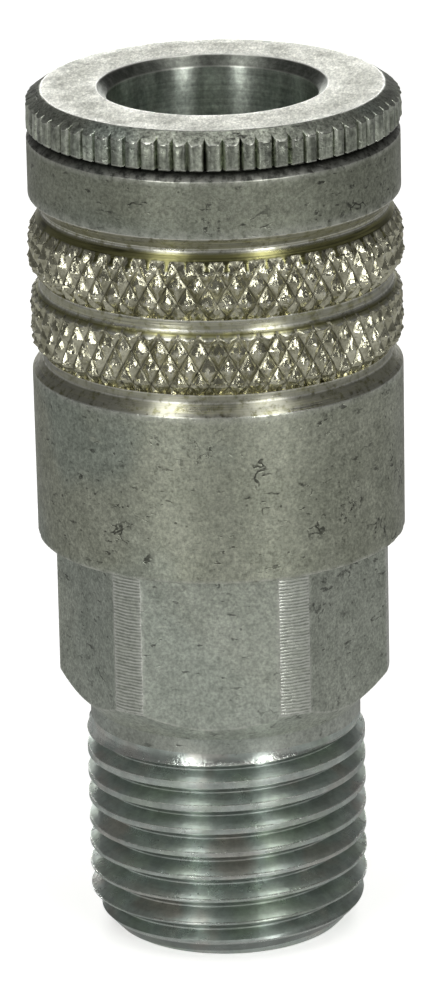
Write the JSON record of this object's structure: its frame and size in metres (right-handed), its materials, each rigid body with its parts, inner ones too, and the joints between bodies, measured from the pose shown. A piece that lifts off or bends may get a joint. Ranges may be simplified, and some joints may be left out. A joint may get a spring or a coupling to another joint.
{
  "type": "quick disconnect coupler",
  "caption": "Ball-lock quick disconnect coupler for air lines: a spring-loaded knurled sleeve over a valved socket, with a wrench hexagon and a male tapered pipe thread.",
  "frame": {"origin": "centre of the threaded end face, which is the bottom of the upright coupler", "axes": "+Z along the coupler's axis from the threaded end to the plug socket; a flat of the hexagon faces -Y and another +Y"},
  "size_m": [0.0274, 0.0274, 0.0642],
  "materials": {
    "zinc_adapter": "dull clear zinc plate on turned steel",
    "zinc_sleeve": "dull clear zinc plate, polished in the grooves",
    "ring_steel": "fine blasted steel with bright turned edges",
    "barrel_steel": "turned steel, grey zinc plate",
    "ball_steel": "polished hardened steel",
    "spring_steel": "drawn spring wire",
    "seat_brass": "turned brass",
    "nitrile": "black nitrile rubber"
  },
  "bodies": {
    "base": {"adapter": "zinc_adapter", "barrel": "barrel_steel", "nose_ring": "ring_steel", "valve_guide": "seat_brass", "valve_seat": "seat_brass", "plug_seal": "nitrile", "seal_washer": "seat_brass", "body_seal": "nitrile", "sleeve_spring": "spring_steel", "valve_spring": "spring_steel"},
    "sleeve": {"sleeve": "zinc_sleeve"},
    "valve": {"valve": "seat_brass", "valve_seal": "nitrile"},
    "ball_1": {"ball_1": "ball_steel"},
    "ball_2": {"ball_2": "ball_steel"},
    "ball_3": {"ball_3": "ball_steel"},
    "ball_4": {"ball_4": "ball_steel"},
    "ball_5": {"ball_5": "ball_steel"},
    "ball_6": {"ball_6": "ball_steel"},
    "ball_7": {"ball_7": "ball_steel"},
    "ball_8": {"ball_8": "ball_steel"}
  },
  "joints": [
    {"name": "sleeve_slide", "type": "slide", "parent": "base", "child": "sleeve", "axis": [0, 0, -1], "range_m": [0, 0.004], "stiffness_N_per_m": 2500, "springref_m": -0.004, "deforming": ["sleeve_spring"]},
    {"name": "valve_slide", "type": "slide", "parent": "base", "child": "valve", "axis": [0, 0, -1], "range_m": [0, 0.004], "stiffness_N_per_m": 700, "springref_m": -0.004, "deforming": ["valve_spring"]},
    {"name": "ball_1_slide", "type": "slide", "parent": "base", "child": "ball_1", "axis": [1, 0, 0], "range_m": [0, 0.00115]},
    {"name": "ball_2_slide", "type": "slide", "parent": "base", "child": "ball_2", "axis": [0.7071, 0.7071, 0], "range_m": [0, 0.00115]},
    {"name": "ball_3_slide", "type": "slide", "parent": "base", "child": "ball_3", "axis": [0, 1, 0], "range_m": [0, 0.00115]},
    {"name": "ball_4_slide", "type": "slide", "parent": "base", "child": "ball_4", "axis": [-0.7071, 0.7071, 0], "range_m": [0, 0.00115]},
    {"name": "ball_5_slide", "type": "slide", "parent": "base", "child": "ball_5", "axis": [-1, 0, 0], "range_m": [0, 0.00115]},
    {"name": "ball_6_slide", "type": "slide", "parent": "base", "child": "ball_6", "axis": [-0.7071, -0.7071, 0], "range_m": [0, 0.00115]},
    {"name": "ball_7_slide", "type": "slide", "parent": "base", "child": "ball_7", "axis": [0, -1, 0], "range_m": [0, 0.00115]},
    {"name": "ball_8_slide", "type": "slide", "parent": "base", "child": "ball_8", "axis": [0.7071, -0.7071, 0], "range_m": [0, 0.00115]}
  ],
  "couplings": [
    {"joint": "ball_1_slide", "follows": "sleeve_slide", "ratio": 0.2875},
    {"joint": "ball_2_slide", "follows": "sleeve_slide", "ratio": 0.2875},
    {"joint": "ball_3_slide", "follows": "sleeve_slide", "ratio": 0.2875},
    {"joint": "ball_4_slide", "follows": "sleeve_slide", "ratio": 0.2875},
    {"joint": "ball_5_slide", "follows": "sleeve_slide", "ratio": 0.2875},
    {"joint": "ball_6_slide", "follows": "sleeve_slide", "ratio": 0.2875},
    {"joint": "ball_7_slide", "follows": "sleeve_slide", "ratio": 0.2875},
    {"joint": "ball_8_slide", "follows": "sleeve_slide", "ratio": 0.2875}
  ]
}
